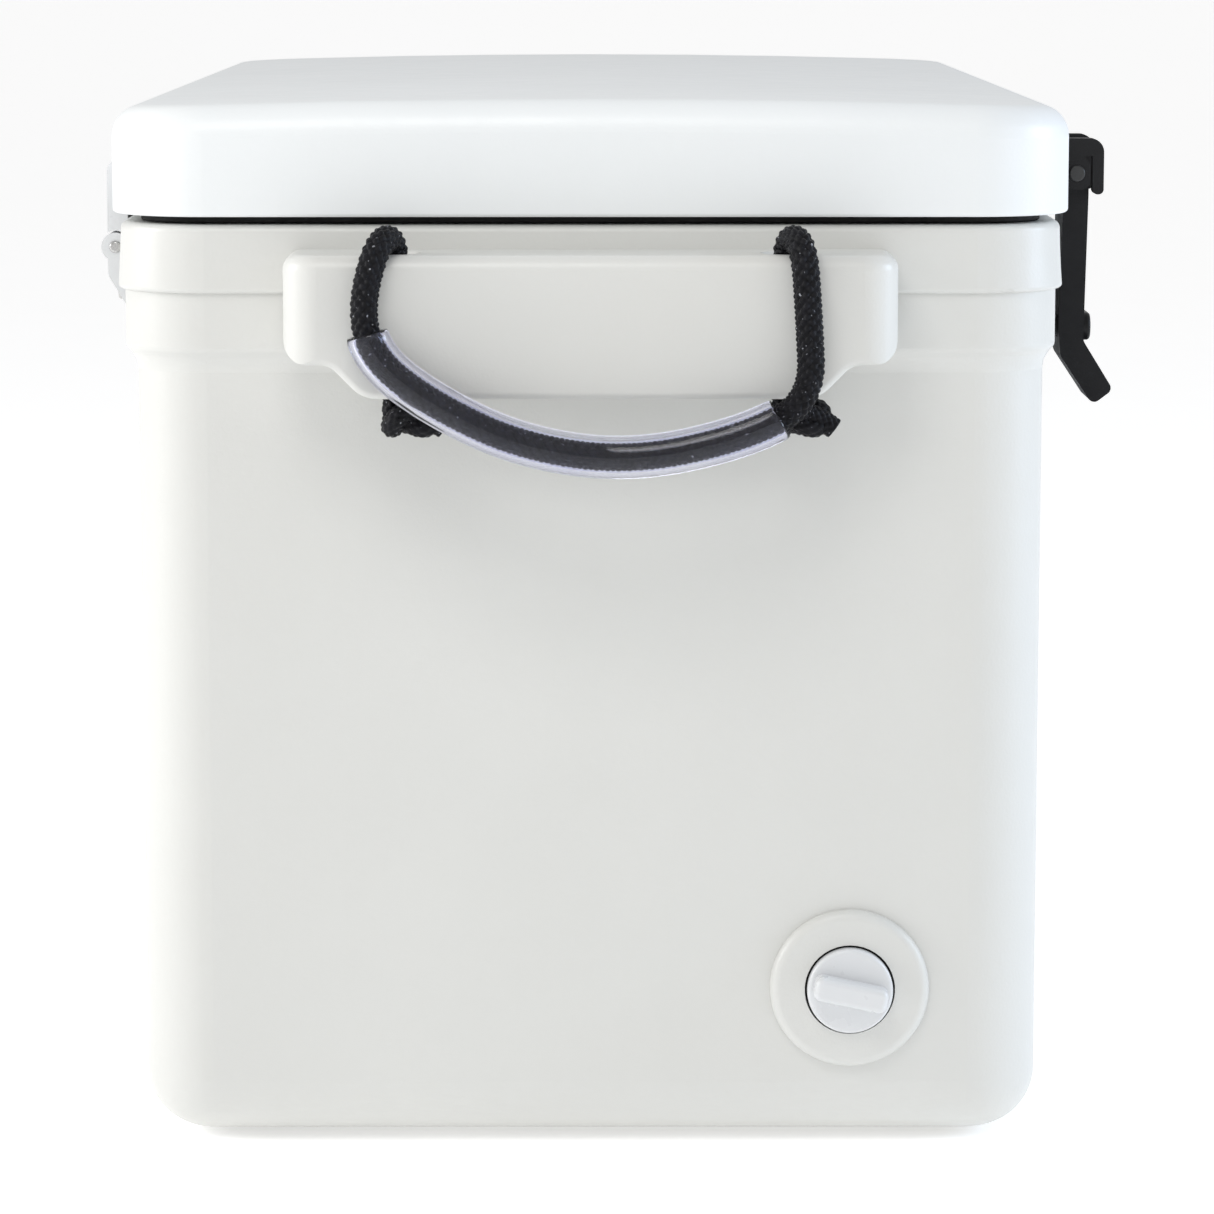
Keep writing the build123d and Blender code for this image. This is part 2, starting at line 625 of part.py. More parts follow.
def route_radii(points):
    """Each arc is as large as its two runs allow."""
    radii = []
    for before, corner, after in zip(points, points[1:], points[2:]):
        into, onward = corner - before, after - corner
        turn = math.radians(into.get_angle(onward))
        radii.append(0.45 * min(into.length, onward.length) / math.tan(turn / 2))
    return radii


def swept_tube(points, radii, radius):
    """A round bar along a route whose corners have these radii."""
    path = FilletPolyline(*points, radius=radii)
    start = Plane(origin=path @ 0, z_dir=path % 0)
    return sweep(start * Circle(radius), path=path)


def make_rope():
    """The -X end's rope, from knot to knot, as a plain round tube with a ball at each end."""
    points = [route_point(*place) for place in ROPE_ROUTE]
    radii = route_radii(points)
    rope = swept_tube(points, radii, ROPE_RADIUS)
    length = FilletPolyline(*points, radius=radii).length
    volume_ratio = rope.volume / (math.pi * ROPE_RADIUS**2 * length)
    print("rope length:", round(length, 1), "volume over section times length:", round(volume_ratio, 4))
    for end in (points[0], points[-1]):
        rope += Pos(end) * Sphere(KNOT_RADIUS)
    return rope


def make_grip():
    """The clear tube that the rope runs through."""
    points = [route_point(*place) for place in ROPE_ROUTE]
    radii = route_radii(points)
    first, last = GRIP_FIRST_RUN, GRIP_LAST_RUN
    start = (points[first] + points[first + 1]) / 2
    end = (points[last] + points[last + 1]) / 2
    route = [start] + points[first + 1 : last + 1] + [end]
    bends = radii[first:last]
    return swept_tube(route, bends, GRIP_OUTER) - swept_tube(route, bends, GRIP_INNER)


def build_nodes():
    nodes = {
        "tub_shell": make_tub_shell(),
        "tub_foam": make_tub_foam(),
        "tub_fill_plug": fill_plug(TUB_BOTTOM),
        "drain_bushing": make_drain_bushing(),
        "drain_seal": make_drain_seal(),
        "drain_plug": make_drain_plug(),
        "lid_shell": make_lid_shell(),
        "lid_foam": make_lid_foam(),
        "lid_fill_plug": fill_plug(PLUG_BOTTOM),
        "lid_gasket": make_lid_gasket(),
        "foot_screws": [pan_screw(*foot_screw(x, y)) for x, y in foot_places()],
        "lid_hinge_screws": [pan_screw(*s) for x in fitting_places() for s in lid_leaf_screws(x)],
        "tub_hinge_screws": [pan_screw(*s) for x in fitting_places() for s in tub_leaf_screws(x)],
        "latch_hanger_screws": [pan_screw(*s) for x in fitting_places() for s in hanger_screws(x)],
        "latch_keeper_screws": [pan_screw(*s) for x in fitting_places() for s in keeper_screws(x)],
    }
    for x, y in foot_places():
        place = ("front" if y < 0 else "rear") + ("_left" if x < 0 else "_right")
        nodes["foot_" + place] = make_foot(x, y)
    rope, grip = make_rope(), make_grip()
    for side, sign in SIDES.items():
        x = sign * FITTING_X
        nodes["lid_hinge_leaf_" + side] = make_lid_leaf(x)
        nodes["tub_hinge_leaf_" + side] = make_tub_leaf(x)
        nodes["hinge_pin_" + side] = make_hinge_pin(x)
        nodes["latch_hanger_" + side] = make_hanger(x)
        nodes["latch_pin_" + side] = make_latch_pin(x)
        nodes["latch_strap_" + side] = make_strap(x)
        nodes["latch_keeper_" + side] = make_keeper(x)
        turn = Rot(0, 0, 0 if sign < 0 else 180)
        nodes["rope_" + side] = turn * rope
        nodes["grip_tube_" + side] = turn * grip
    return nodes


def main():
    os.makedirs("parts", exist_ok=True)
    for name, piece in build_nodes().items():
        solids = piece if isinstance(piece, list) else [piece]
        solids = [solid for part in solids for solid in part.solids()]
        placed = Pos(0, FRAME_SHIFT, 0) * Compound(children=solids)
        export_step(placed, os.path.join("parts", name + ".step"))
    print("frame shift along Y:", round(FRAME_SHIFT, 3))


main()
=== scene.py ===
"""The looks of a rotomoulded ice chest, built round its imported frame.

Lengths are in metres, in the frame's own axes: X along the chest, -Y the latch side, Z up. The drain
is at the -X end.
"""

import logging
import math
from dataclasses import dataclass, field
from enum import Enum

import bpy
import numpy as np
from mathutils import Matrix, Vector


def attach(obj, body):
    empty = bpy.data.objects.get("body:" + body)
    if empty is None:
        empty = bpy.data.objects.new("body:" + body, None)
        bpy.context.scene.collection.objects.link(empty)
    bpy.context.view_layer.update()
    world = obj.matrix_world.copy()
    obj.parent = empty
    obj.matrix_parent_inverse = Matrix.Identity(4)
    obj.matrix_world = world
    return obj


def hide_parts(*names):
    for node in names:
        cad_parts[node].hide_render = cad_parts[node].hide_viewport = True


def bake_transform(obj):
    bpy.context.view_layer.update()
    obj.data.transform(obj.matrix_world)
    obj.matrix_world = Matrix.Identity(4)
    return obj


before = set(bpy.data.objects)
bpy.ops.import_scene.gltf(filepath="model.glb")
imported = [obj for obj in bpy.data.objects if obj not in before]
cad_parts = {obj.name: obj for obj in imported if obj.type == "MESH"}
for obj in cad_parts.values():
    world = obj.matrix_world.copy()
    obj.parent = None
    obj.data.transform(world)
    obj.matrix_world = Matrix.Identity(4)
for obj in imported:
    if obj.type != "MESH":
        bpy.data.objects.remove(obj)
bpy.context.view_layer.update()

log = logging.getLogger("ice_chest")

Point = tuple[float, float, float]
Colour = tuple[float, float, float]

TUB_CENTRE_Y = 0.0094  # the latches reach further out than the hinges, so the tub isn't centred
END_FACE_X = 0.340  # the lid's end faces
NOISE_SPAN = (0.3, 0.7)  # nearly all of a noise pattern lies between these values
SPLINE_STEPS = 32  # the steps that a route's spline is read in, from one control point to the next


class End(Enum):
    """An end of the chest, as the sign of its X."""

    LEFT = -1
    RIGHT = 1

    @property
    def word(self) -> str:
        """The end's word in the names of nodes and bodies."""
        return self.name.lower()


class Grain(Enum):
    """How the small relief of a moulded surface is patterned."""

    PEEL = "orange peel"
    STIPPLE = "stipple"


# ---------------------------------------------------------------- materials


class Mixing:
    """A material's node tree while it is being put together."""

    def __init__(self, name: str) -> None:
        """Start a material.

        Args:
            name: The material's name.
        """
        self.material = bpy.data.materials.new(name)
        self.material.use_nodes = True
        self.tree = self.material.node_tree
        self.shader = self.tree.nodes["Principled BSDF"]
        self.place = self.node("ShaderNodeTexCoord")

    def node(self, kind: str) -> bpy.types.Node:
        """Add a node.

        Args:
            kind: The node's type name.

        Returns:
            The new node.
        """
        return self.tree.nodes.new(kind)

    def link(self, source: bpy.types.NodeSocket, target: bpy.types.NodeSocket) -> None:
        """Join two sockets."""
        self.tree.links.new(source, target)

    def constant(self, socket: str, value: float | tuple[float, ...]) -> None:
        """Set a value on the shader's own socket."""
        self.shader.inputs[socket].default_value = value

    def noise(self, scale: float, detail: float = 3.0, stretch: Point = (1.0, 1.0, 1.0),
              from_uv: bool = False) -> bpy.types.NodeSocket:
        """Add a noise pattern.

        Args:
            scale: Cells per metre.
            detail: How many finer layers it has.
            stretch: Scale along each axis.
            from_uv: Whether it follows the mesh's UV map rather than its place.

        Returns:
            The pattern's value socket.
        """
        mapping = self.node("ShaderNodeMapping")
        mapping.inputs["Scale"].default_value = stretch
        self.link(self.place.outputs["UV" if from_uv else "Object"], mapping.inputs["Vector"])
        noise = self.node("ShaderNodeTexNoise")
        noise.inputs["Scale"].default_value = scale
        noise.inputs["Detail"].default_value = detail
        self.link(mapping.outputs["Vector"], noise.inputs["Vector"])
        return noise.outputs["Fac"]

    def cells(self, scale: float) -> bpy.types.NodeSocket:
        """Add a cellular pattern.

        Args:
            scale: Cells per metre.

        Returns:
            The distance to the nearest cell's middle.
        """
        cells = self.node("ShaderNodeTexVoronoi")
        cells.feature = "SMOOTH_F1"
        cells.inputs["Scale"].default_value = scale
        self.link(self.place.outputs["Object"], cells.inputs["Vector"])
        return cells.outputs["Distance"]

    def ramp(self, value: bpy.types.NodeSocket, low: float, high: float, dark: Colour,
             light: Colour) -> bpy.types.NodeSocket:
        """Turn a pattern into colours.

        Args:
            value: The pattern.
            low: The value that gives the first colour.
            high: The value that gives the second.
            dark: The first colour.
            light: The second colour.

        Returns:
            The colour socket.
        """
        ramp = self.node("ShaderNodeValToRGB")
        ramp.color_ramp.elements[0].position = low
        ramp.color_ramp.elements[1].position = high
        ramp.color_ramp.elements[0].color = (*dark, 1.0)
        ramp.color_ramp.elements[1].color = (*light, 1.0)
        self.link(value, ramp.inputs["Fac"])
        return ramp.outputs["Color"]

    def spread(self, value: bpy.types.NodeSocket, low: float, high: float) -> bpy.types.NodeSocket:
        """Stretch a pattern over a span of numbers.

        Args:
            value: The noise pattern.
            low: What it becomes at its lowest.
            high: What it becomes at its highest.

        Returns:
            The number socket.
        """
        span = self.node("ShaderNodeMapRange")
        span.inputs["From Min"].default_value, span.inputs["From Max"].default_value = NOISE_SPAN
        span.inputs["To Min"].default_value = low
        span.inputs["To Max"].default_value = high
        self.link(value, span.inputs["Value"])
        return span.outputs["Result"]

    def relief(self, value: bpy.types.NodeSocket, depth: float, strength: float,
               under: bpy.types.NodeSocket | None = None) -> bpy.types.NodeSocket:
        """Raise a pattern as a bump.

        Args:
            value: The pattern.
            depth: Its height in metres.
            strength: Its strength, 0 to 1.
            under: The normal of a bump that this one lies on.

        Returns:
            The normal socket.
        """
        bump = self.node("ShaderNodeBump")
        bump.inputs["Distance"].default_value = depth
        bump.inputs["Strength"].default_value = strength
        self.link(value, bump.inputs["Height"])
        if under is not None:
            self.link(under, bump.inputs["Normal"])
        return bump.outputs["Normal"]

    def over(self, base: bpy.types.NodeSocket, colour: Colour,
             where: bpy.types.NodeSocket) -> bpy.types.NodeSocket:
        """Lay a colour over another where a pattern says.

        Args:
            base: The colour underneath.
            colour: The colour on top.
            where: The pattern, 0 for the base and 1 for the colour on top.

        Returns:
            The mixed colour's socket.
        """
        mix = self.node("ShaderNodeMix")
        mix.data_type = "RGBA"
        below, above = (socket for socket in mix.inputs if socket.type == "RGBA")
        above.default_value = (*colour, 1.0)
        self.link(where, mix.inputs["Factor"])
        self.link(base, below)
        return next(socket for socket in mix.outputs if socket.type == "RGBA")

    def dress(self, colour: bpy.types.NodeSocket, roughness: bpy.types.NodeSocket,
              normal: bpy.types.NodeSocket) -> bpy.types.Material:
        """Finish the material.

        Args:
            colour: The base colour's socket.
            roughness: The roughness's socket.
            normal: The normal's socket.

        Returns:
            The material.
        """
        self.link(colour, self.shader.inputs["Base Color"])
        self.link(roughness, self.shader.inputs["Roughness"])
        self.link(normal, self.shader.inputs["Normal"])
        return self.material


@dataclass(frozen=True)
class MouldedFinish:
    """Moulded plastic or rubber, with a fine relief, a coarse one and some handling marks.

    Attributes:
        colour: The main colour.
        tint: The colour of its paler or dirtier patches.
        roughness: The lowest and highest roughness.
        patch_scale: Patches per metre.
        patch_span: The values of their pattern between which the tint comes in.
        handling_scale: Cells per metre of the marks that change the roughness.
        grain: The pattern of the fine relief.
        grain_scale: Cells of the fine relief per metre.
        grain_depth: The fine relief's height in metres.
        wave_scale: Cells of the coarse relief per metre.
        wave_depth: The coarse relief's height in metres.
        sheen: The strength of the soft edge sheen.
        specular: The shader's specular level.
    """

    colour: Colour
    tint: Colour
    roughness: tuple[float, float] = (0.4, 0.55)
    patch_scale: float = 9.0
    patch_span: tuple[float, float] = (0.35, 0.72)
    handling_scale: float = 60.0
    grain: Grain = Grain.PEEL
    grain_scale: float = 700.0
    grain_depth: float = 0.00012
    wave_scale: float = 30.0
    wave_depth: float = 0.0006
    sheen: float = 0.0
    specular: float = 0.5

    def material(self, name: str) -> bpy.types.Material:
        """Make the finish's material.

        Args:
            name: The material's name.

        Returns:
            The material.
        """
        mixing = Mixing(name)
        mixing.constant("Specular IOR Level", self.specular)
        mixing.constant("Sheen Weight", self.sheen)
        patches = mixing.noise(self.patch_scale, detail=5.0)
        colour = mixing.ramp(patches, *self.patch_span, self.colour, self.tint)
        roughness = mixing.spread(mixing.noise(self.handling_scale, detail=4.0), *self.roughness)
        waves = mixing.relief(mixing.noise(self.wave_scale, detail=2.0), self.wave_depth, strength=0.5)
        if self.grain is Grain.PEEL:
            fine = mixing.noise(self.grain_scale, detail=2.0)
        else:
            fine = mixing.cells(self.grain_scale)
        normal = mixing.relief(fine, self.grain_depth, strength=0.6, under=waves)
        return mixing.dress(colour, roughness, normal)


@dataclass(frozen=True)
class SteelFinish:
    """Drawn stainless steel: streaks along its length over a bright metal.

    Attributes:
        colour: The main colour.
        tint: The colour of its streaks.
        streak: How the streaks' pattern is scaled along each axis.
        streak_scale: Streaks per metre.
        streak_depth: The streaks' height in metres.
        haze_scale: Cells per metre of the pattern that changes the roughness.
        roughness: The lowest and highest roughness.
    """

    colour: Colour = (0.62, 0.62, 0.61)
    tint: Colour = (0.44, 0.43, 0.42)
    streak: Point = (0.06, 1.0, 1.0)
    streak_scale: float = 2200.0
    streak_depth: float = 0.00003
    haze_scale: float = 350.0
    roughness: tuple[float, float] = (0.18, 0.38)

    def material(self, name: str) -> bpy.types.Material:
        """Make the finish's material.

        Args:
            name: The material's name.

        Returns:
            The material.
        """
        mixing = Mixing(name)
        mixing.constant("Metallic", 1.0)
        streaks = mixing.noise(self.streak_scale, detail=4.0, stretch=self.streak)
        colour = mixing.ramp(streaks, *NOISE_SPAN, self.colour, self.tint)
        roughness = mixing.spread(mixing.noise(self.haze_scale, detail=3.0), *self.roughness)
        return mixing.dress(colour, roughness, mixing.relief(streaks, self.streak_depth, strength=0.4))


@dataclass(frozen=True)
class BraidFinish:
    """Black braided rope whose fibres catch the light as pale flecks.

    Attributes:
        yarn: The colour of the yarn.
        worn: The colour where the yarn is fluffed.
        fluff_scale: Fluffed patches per metre.
        fluff_span: The values of their pattern between which the worn colour comes in.
        fleck: The colour of its flecks.
        fleck_scale: Flecks per metre along the rope.
        fleck_stretch: How the flecks' pattern is scaled along and round the rope.
        fleck_span: The values of their pattern between which a fleck comes in.
        haze_scale: Cells per metre of the pattern that changes the roughness.
        fibre_scale: Fibres per metre.
        fibre_depth: How high the fibres stand, in metres.
        roughness: The lowest and highest roughness.
        specular: The shader's specular level.
    """

    yarn: Colour = (0.0015, 0.0015, 0.0025)
    worn: Colour = (0.007, 0.007, 0.010)
    fluff_scale: float = 260.0
    fluff_span: tuple[float, float] = (0.35, 0.7)
    fleck: Colour = (0.30, 0.31, 0.34)
    fleck_scale: float = 620.0
    fleck_stretch: Point = (1.0, 0.035, 1.0)
    fleck_span: tuple[float, float] = (0.70, 0.76)
    haze_scale: float = 400.0
    fibre_scale: float = 2600.0
    fibre_depth: float = 0.00025
    roughness: tuple[float, float] = (0.32, 0.5)
    specular: float = 0.16

    def material(self, name: str) -> bpy.types.Material:
        """Make the finish's material.

        Args:
            name: The material's name.

        Returns:
            The material.
        """
        mixing = Mixing(name)
        mixing.constant("Specular IOR Level", self.specular)
        fluff = mixing.noise(self.fluff_scale, detail=4.0)
        base = mixing.ramp(fluff, *self.fluff_span, self.yarn, self.worn)
        flecks = mixing.noise(self.fleck_scale, detail=1.0, stretch=self.fleck_stretch, from_uv=True)
        sparks = mixing.ramp(flecks, *self.fleck_span, (0.0, 0.0, 0.0), (1.0, 1.0, 1.0))
        colour = mixing.over(base, self.fleck, sparks)
        roughness = mixing.spread(mixing.noise(self.haze_scale, detail=2.0), *self.roughness)
        fibres = mixing.noise(self.fibre_scale, detail=3.0)
        return mixing.dress(colour, roughness, mixing.relief(fibres, self.fibre_depth, strength=0.8))


@dataclass(frozen=True)
class VinylFinish:
    """Clear flexible vinyl with a faint lavender cast.

    Attributes:
        colour: The clear body's tint.
        cloud: The tint of its cloudier patches.
        cloud_scale: Cloudy patches per metre.
        cloud_span: The values of their pattern between which the cloudy tint comes in.
        haze_scale: Cells per metre of the pattern that changes the roughness.
        ripple_scale: Ripples per metre.
        ripple_depth: The ripples' height in metres.
        roughness: The lowest and highest roughness.
        refraction: The index of refraction.
        specular: The shader's specular level.
    """

    colour: Colour = (0.87, 0.88, 1.0)
    cloud: Colour = (0.78, 0.79, 0.97)
    cloud_scale: float = 40.0
    cloud_span: tuple[float, float] = (0.4, 0.75)
    haze_scale: float = 90.0
    ripple_scale: float = 60.0
    ripple_depth: float = 0.0001
    roughness: tuple[float, float] = (0.015, 0.05)
    refraction: float = 1.34
    specular: float = 0.3

    def material(self, name: str) -> bpy.types.Material:
        """Make the finish's material.

        Args:
            name: The material's name.

        Returns:
            The material.
        """
        mixing = Mixing(name)
        mixing.constant("Transmission Weight", 1.0)
        mixing.constant("IOR", self.refraction)
        mixing.constant("Specular IOR Level", self.specular)
        clouds = mixing.noise(self.cloud_scale, detail=3.0)
        colour = mixing.ramp(clouds, *self.cloud_span, self.colour, self.cloud)
        roughness = mixing.spread(mixing.noise(self.haze_scale, detail=3.0), *self.roughness)
        ripples = mixing.noise(self.ripple_scale, detail=1.0)
        return mixing.dress(colour, roughness, mixing.relief(ripples, self.ripple_depth, strength=0.2))


class Palette:
    """Every finish of the chest, made once and shared by its pieces."""

    def __init__(self) -> None:
        """Make the materials."""
        # The lid and the tub are one plastic: the lid's colour is set paler and cooler than the tub's,
        # which is painted light on the lid and painted shade on the tub.
        self.lid = MouldedFinish(
            colour=(0.785, 0.805, 0.81), tint=(0.765, 0.785, 0.79), roughness=(0.30, 0.42),
        ).material("lid_plastic")
        self.tub = MouldedFinish(
            colour=(0.655, 0.655, 0.63), tint=(0.635, 0.635, 0.61), roughness=(0.30, 0.42),
        ).material("tub_plastic")
        self.fitting = MouldedFinish(
            colour=(0.68, 0.69, 0.70), tint=(0.66, 0.67, 0.68), roughness=(0.26, 0.34),
            grain_depth=0.00001, wave_depth=0.00001,
        ).material("fitting_plastic")
        self.latch = MouldedFinish(
            colour=(0.004, 0.004, 0.0045), tint=(0.009, 0.009, 0.010), roughness=(0.34, 0.5),
            grain=Grain.STIPPLE, grain_scale=1300.0, grain_depth=0.0001, specular=0.25,
        ).material("latch_plastic")
        self.strap = MouldedFinish(
            colour=(0.004, 0.004, 0.005), tint=(0.009, 0.009, 0.010), roughness=(0.5, 0.7),
            grain=Grain.STIPPLE, grain_scale=1800.0, grain_depth=0.0001, specular=0.25,
        ).material("strap_rubber")
        self.seal = MouldedFinish(
            colour=(0.006, 0.006, 0.006), tint=(0.014, 0.014, 0.014), roughness=(0.6, 0.8), specular=0.35,
        ).material("seal_rubber")
        self.foot = MouldedFinish(
            colour=(0.020, 0.020, 0.020), tint=(0.045, 0.043, 0.040), roughness=(0.6, 0.85),
            grain=Grain.STIPPLE, grain_scale=900.0, grain_depth=0.0002,
        ).material("foot_rubber")
        self.foam = MouldedFinish(
            colour=(0.78, 0.68, 0.42), tint=(0.70, 0.58, 0.33), roughness=(0.8, 0.95),
            grain=Grain.STIPPLE, grain_scale=1500.0, grain_depth=0.0006,
        ).material("foam")
        self.steel = SteelFinish().material("steel")
        self.black_steel = MouldedFinish(
            colour=(0.012, 0.012, 0.012), tint=(0.03, 0.03, 0.03), roughness=(0.25, 0.45),
            grain_depth=0.00003,
        ).material("black_screws")
        self.braid = BraidFinish().material("rope_braid")
        self.vinyl = VinylFinish().material("clear_vinyl")


# ---------------------------------------------------------------- helpers


def from_tub_centre(out: float, y: float, z: float, end: End) -> Vector:
    """Give the place of a point that is described from an end face.

    Args:
        out: The distance outwards from the lid's end face.
        y: The Y, from the tub's middle, at the drain end. The other end is the same, turned round.
        z: The height.
        end: Which end.

    Returns:
        The point in the frame.
    """
    return Vector((end.value * (END_FACE_X + out), TUB_CENTRE_Y - end.value * y, z))


def new_mesh(name: str, points: np.ndarray, faces: list[tuple[int, ...]], material: bpy.types.Material,
             uvs: np.ndarray | None = None, flat_faces: int = 0) -> bpy.types.Object:
    """Make a smooth mesh object.

    Args:
        name: The object's name.
        points: Its points, one row each.
        faces: Its faces, as indices of points.
        material: Its material.
        uvs: A UV pair for each point, if it has a UV map.
        flat_faces: How many of the last faces are flat, such as cut ends.

    Returns:
        The object, linked to the scene.
    """
    mesh = bpy.data.meshes.new(name)
    mesh.from_pydata(points.tolist(), [], faces)
    smooth = [True] * (len(faces) - flat_faces) + [False] * flat_faces
    mesh.polygons.foreach_set("use_smooth", smooth)
    if uvs is not None:
        layer = mesh.uv_layers.new(name="along")
        corners = np.empty(len(mesh.loops), dtype=np.int32)
        mesh.loops.foreach_get("vertex_index", corners)
        layer.data.foreach_set("uv", uvs[corners].astype(np.float32).ravel())
    mesh.materials.append(material)
    mesh.update()
    piece = bpy.data.objects.new(name, mesh)
    bpy.context.scene.collection.objects.link(piece)
    return piece


def paint(nodes: list[str], material: bpy.types.Material) -> None:
    """Give CAD nodes a material.

    Args:
        nodes: Their names.
        material: The material.
    """
    for name in nodes:
        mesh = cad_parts[name].data
        mesh.materials.clear()
        mesh.materials.append(material)


@dataclass
class Line:
    """A smooth centreline with a frame of two side directions at each of its points.

    Attributes:
        points: The points, one row each.
        sides: The first side direction at each point.
        uppers: The second side direction at each point.
        travelled: The distance along the line to each point.
    """

    points: np.ndarray
    sides: np.ndarray = field(init=False)
    uppers: np.ndarray = field(init=False)
    travelled: np.ndarray = field(init=False)

    def __post_init__(self) -> None:
        """Carry the side directions along the line without a twist."""
        steps = np.gradient(self.points, axis=0)
        tangents = steps / np.linalg.norm(steps, axis=1)[:, None]
        side = np.cross(tangents[0], [0.0, 1.0, 0.0])
        sides = []
        for tangent in tangents:
            side = side - tangent * side.dot(tangent)
            side = side / np.linalg.norm(side)
            sides.append(side)
        self.sides = np.array(sides)
        self.uppers = np.cross(tangents, self.sides)
        runs = np.linalg.norm(np.diff(self.points, axis=0), axis=1)
        self.travelled = np.concatenate([[0.0], np.cumsum(runs)])

    @classmethod
    def along(cls, route: list[Vector], step: float) -> "Line":
        """Follow a smooth spline whose control points are a route.

        Args:
            route: The control points.
            step: The distance between the line's points.

        Returns:
            The line, from the route's first point to its last.
        """
        curve = bpy.data.curves.new("route", "CURVE")
        curve.dimensions = "3D"
        curve.resolution_u = SPLINE_STEPS
        spline = curve.splines.new("NURBS")
        spline.points.add(len(route) - 1)
        for spot, place in zip(spline.points, route):
            spot.co = (*place, 1.0)
        spline.order_u = 3
        spline.use_endpoint_u = True
        holder = bpy.data.objects.new("route", curve)
        bpy.context.scene.collection.objects.link(holder)
        bpy.context.view_layer.update()
        mesh = bpy.data.meshes.new_from_object(holder)
        raw = np.array([vertex.co for vertex in mesh.vertices], float)
        bpy.data.objects.remove(holder)
        bpy.data.curves.remove(curve)
        bpy.data.meshes.remove(mesh)
        return cls(spaced(raw, step))

    def part(self, first: Vector, last: Vector) -> "Line":
        """Cut out the stretch between the points nearest to two places.

        Args:
            first: The place where it starts.
            last: The place where it ends.

        Returns:
            The stretch.
        """
        low = int(np.linalg.norm(self.points - np.array(first), axis=1).argmin())
        high = int(np.linalg.norm(self.points - np.array(last), axis=1).argmin())
        return Line(self.points[low:high + 1])

    def wrap(self, radii: np.ndarray) -> np.ndarray:
        """Put rings of points round the line.

        Args:
            radii: The radius at each point of the line and each turn round it.

        Returns:
            The points, ring after ring.
        """
        turns = np.linspace(0.0, 2.0 * math.pi, radii.shape[1], endpoint=False)
        outward = (self.sides[:, None, :] * np.cos(turns)[None, :, None]
                   + self.uppers[:, None, :] * np.sin(turns)[None, :, None])
        return (self.points[:, None, :] + outward * radii[:, :, None]).reshape(-1, 3)


def spaced(points: np.ndarray, step: float) -> np.ndarray:
    """Space points evenly along a line.

    Args:
        points: The line's points.
        step: The distance wanted between them.

    Returns:
        The evenly spaced points.
    """
    runs = np.concatenate([[0.0], np.cumsum(np.linalg.norm(np.diff(points, axis=0), axis=1))])
    places = np.linspace(0.0, runs[-1], max(2, round(runs[-1] / step)))
    return np.stack([np.interp(places, runs, points[:, axis]) for axis in range(3)], axis=1)


def ring_faces(rings: int, around: int, first: int = 0, flip: bool = False) -> list[tuple[int, ...]]:
    """Join rings of points with four-sided faces.

    Args:
        rings: How many rings there are.
        around: How many points each has.
        first: The index of the first ring's first point.
        flip: Whether the faces look inwards.

    Returns:
        The faces.
    """
    faces = []
    for ring in range(rings - 1):
        for turn in range(around):
            after = (turn + 1) % around
            low, high = first + ring * around, first + (ring + 1) * around
            quad = (low + turn, low + after, high + after, high + turn)
            faces.append(tuple(reversed(quad)) if flip else quad)
    return faces


# ---------------------------------------------------------------- rope handles


@dataclass
class Braid:
    """The woven surface of a rope.

    Attributes:
        radius: The rope's radius.
        strands: How many strands wind each way.
        lay: The distance along the rope in which a strand goes once round.
        relief: How high a strand stands over the gaps.
        sunk: The share of the relief that lies below the rope's radius.
        dip: The height of a strand where it goes under another, as a share of its height in the middle.
        around: How many points each ring has.
    """

    radius: float = 0.0053
    strands: int = 8
    lay: float = 0.034
    relief: float = 0.0016
    sunk: float = 0.75
    dip: float = 0.45
    around: int = 72

    def cover(self, name: str, line: Line, material: bpy.types.Material) -> bpy.types.Object:
        """Weave a rope round a line.

        Args:
            name: The piece's name.
            line: Its centreline.
            material: Its material.

        Returns:
            The rope, closed at both ends.
        """
        turns = np.arange(self.around) / self.around
        along = line.travelled[:, None] / self.lay
        one_way = self.strands * (turns[None, :] + along)
        other_way = self.strands * (turns[None, :] - along)
        over = (np.floor(one_way) + np.floor(other_way)) % 2 == 0
        across = np.where(over, one_way % 1.0, other_way % 1.0)
        lengthways = np.where(over, other_way % 1.0, one_way % 1.0)
        crown = self.dip + (1.0 - self.dip) * np.sin(math.pi * lengthways)
        swell = crown * np.sqrt(np.sin(math.pi * across))
        points = line.wrap(self.radius - self.relief * self.sunk + self.relief * swell)
        uvs = np.stack([np.repeat(line.travelled, self.around), np.tile(turns, len(line.points))], axis=1)
        rings = len(line.points)
        faces = ring_faces(rings, self.around)
        centre = len(points)
        points = np.vstack([points, line.points[0], line.points[-1]])
        uvs = np.vstack([uvs, [0.0, 0.0], [line.travelled[-1], 0.0]])
        last = (rings - 1) * self.around
        for turn in range(self.around):
            after = (turn + 1) % self.around
            faces.append((centre, after, turn))
            faces.append((centre + 1, last + turn, last + after))
        return new_mesh(name, points, faces, material, uvs, flat_faces=2 * self.around)


